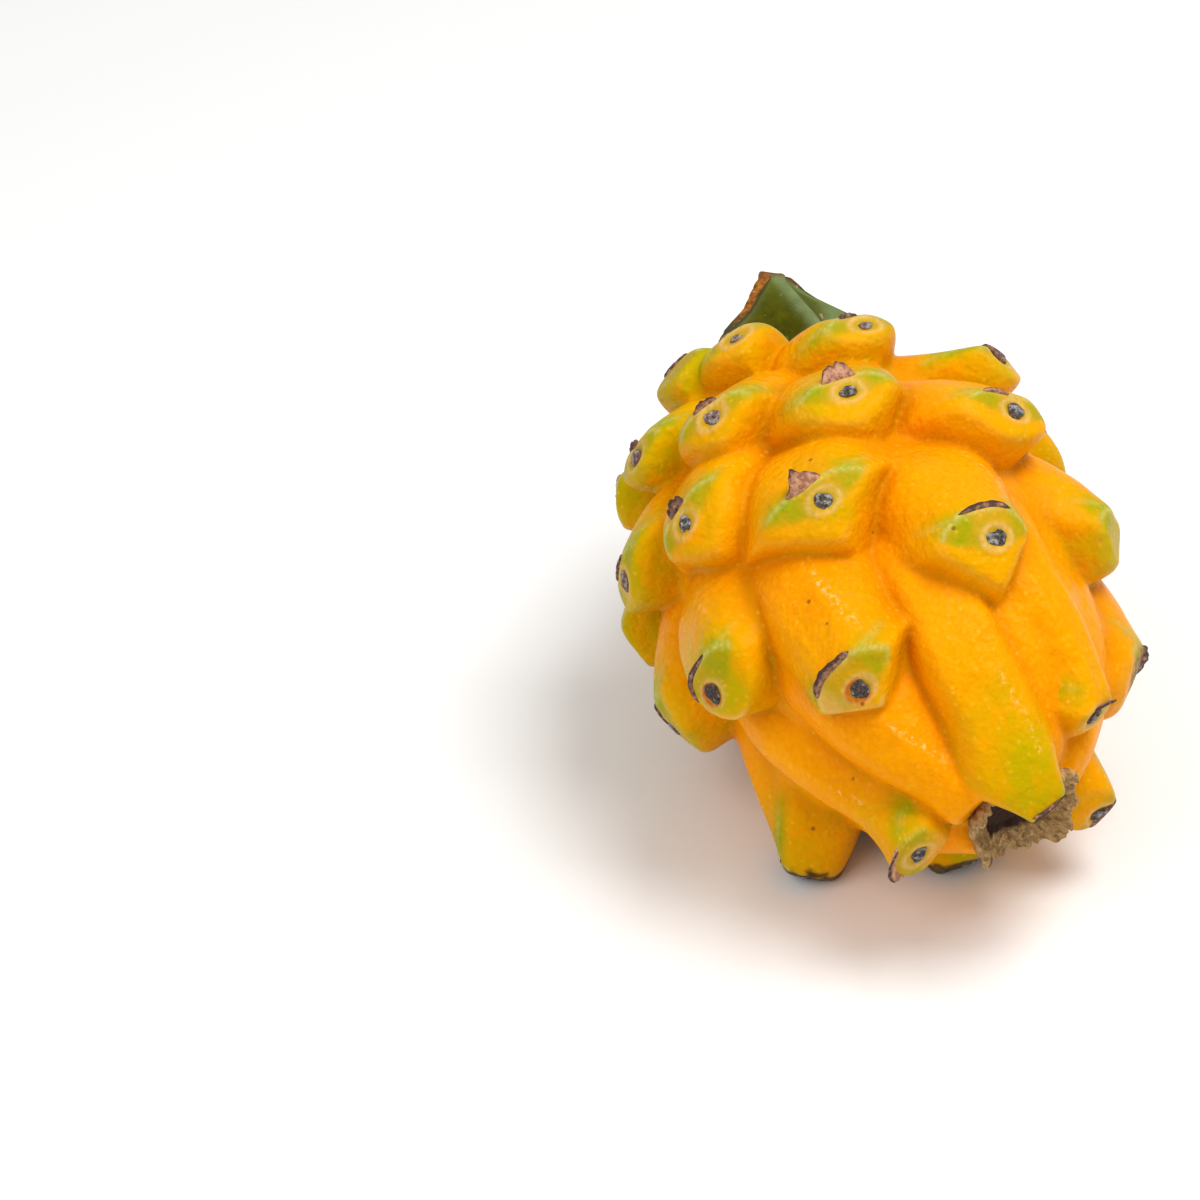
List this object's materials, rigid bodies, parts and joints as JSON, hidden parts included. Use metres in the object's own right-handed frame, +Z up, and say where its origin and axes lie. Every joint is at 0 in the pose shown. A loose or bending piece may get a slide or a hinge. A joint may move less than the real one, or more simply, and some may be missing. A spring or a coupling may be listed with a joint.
{
  "type": "yellow dragon fruit",
  "caption": "Whole yellow dragon fruit lying on its side, with knobbed rind, dried leaf scales, a green stem stub and a dry flower scar.",
  "frame": {"origin": "on the surface that the fruit lies on, under the middle of its bounding box", "axes": "+X runs level along the fruit towards the blossom end, which dips by 14 degrees. +Z is up."},
  "size_m": [0.1078, 0.076, 0.0742],
  "materials": {
    "rind": "waxy orange-yellow skin, olive green on the facets round the areoles",
    "stem_skin": "smooth green cactus skin with brown corky wing edges",
    "dry_flower": "dry brown fibrous tissue"
  },
  "bodies": {
    "root": {"fruit": "rind", "stem": "stem_skin", "flower_scar": "dry_flower"}
  },
  "joints": []
}
